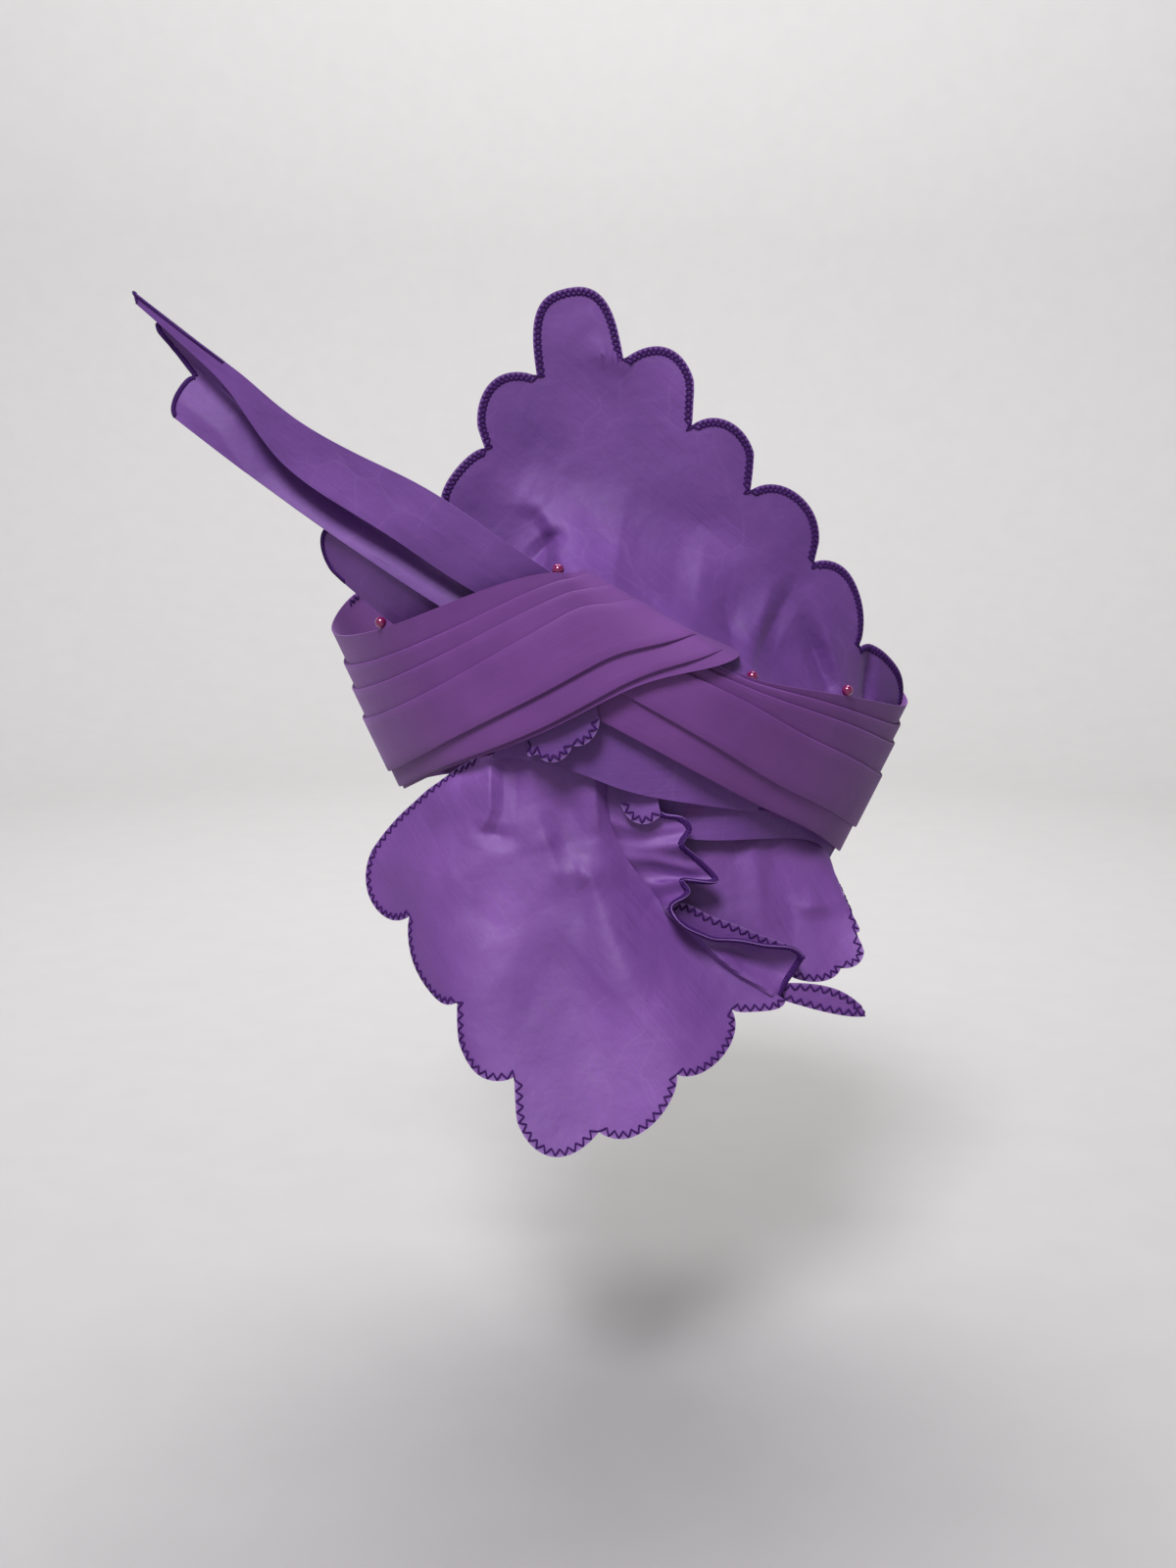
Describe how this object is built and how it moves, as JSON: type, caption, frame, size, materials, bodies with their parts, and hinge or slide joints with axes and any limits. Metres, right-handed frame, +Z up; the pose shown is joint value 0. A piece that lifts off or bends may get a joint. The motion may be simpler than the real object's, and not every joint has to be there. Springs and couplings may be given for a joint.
{
  "type": "head tie",
  "caption": "Tied head wrap of stiff purple cloth: crossed pleated ends round an open head hollow, tall scalloped crest, hanging nape flap and side tail, held with pearl-headed pins.",
  "frame": {"origin": "middle of the head opening at the lower rim of the wrap, where the wrap sits on a head", "axes": "+Z up along the head, -Y towards the side where the two pleated ends cross, +X to the right of that side"},
  "size_m": [0.3393, 0.2271, 0.3593],
  "materials": {
    "cloth": "stiff satin taffeta with zigzag-stitched scalloped edges",
    "pearl": "gloss pearl head on a plain pin"
  },
  "bodies": {
    "root": {"left_band": "cloth", "right_band": "cloth", "brow_band": "cloth", "crown_wrap": "cloth", "crest_flap": "cloth", "nape_flap": "cloth", "under_fold_upper": "cloth", "under_fold_lower": "cloth", "tucked_lobe": "cloth", "tail_upper_leaf": "cloth", "tail_lower_leaf": "cloth", "tail_short_leaf": "cloth", "side_ruffle": "cloth", "side_lip": "cloth", "side_panel": "cloth", "edge_tongue": "cloth", "inner_lobe": "cloth", "pin_centre": "pearl", "pin_left": "pearl", "pin_mid": "pearl", "pin_right": "pearl"}
  },
  "joints": []
}
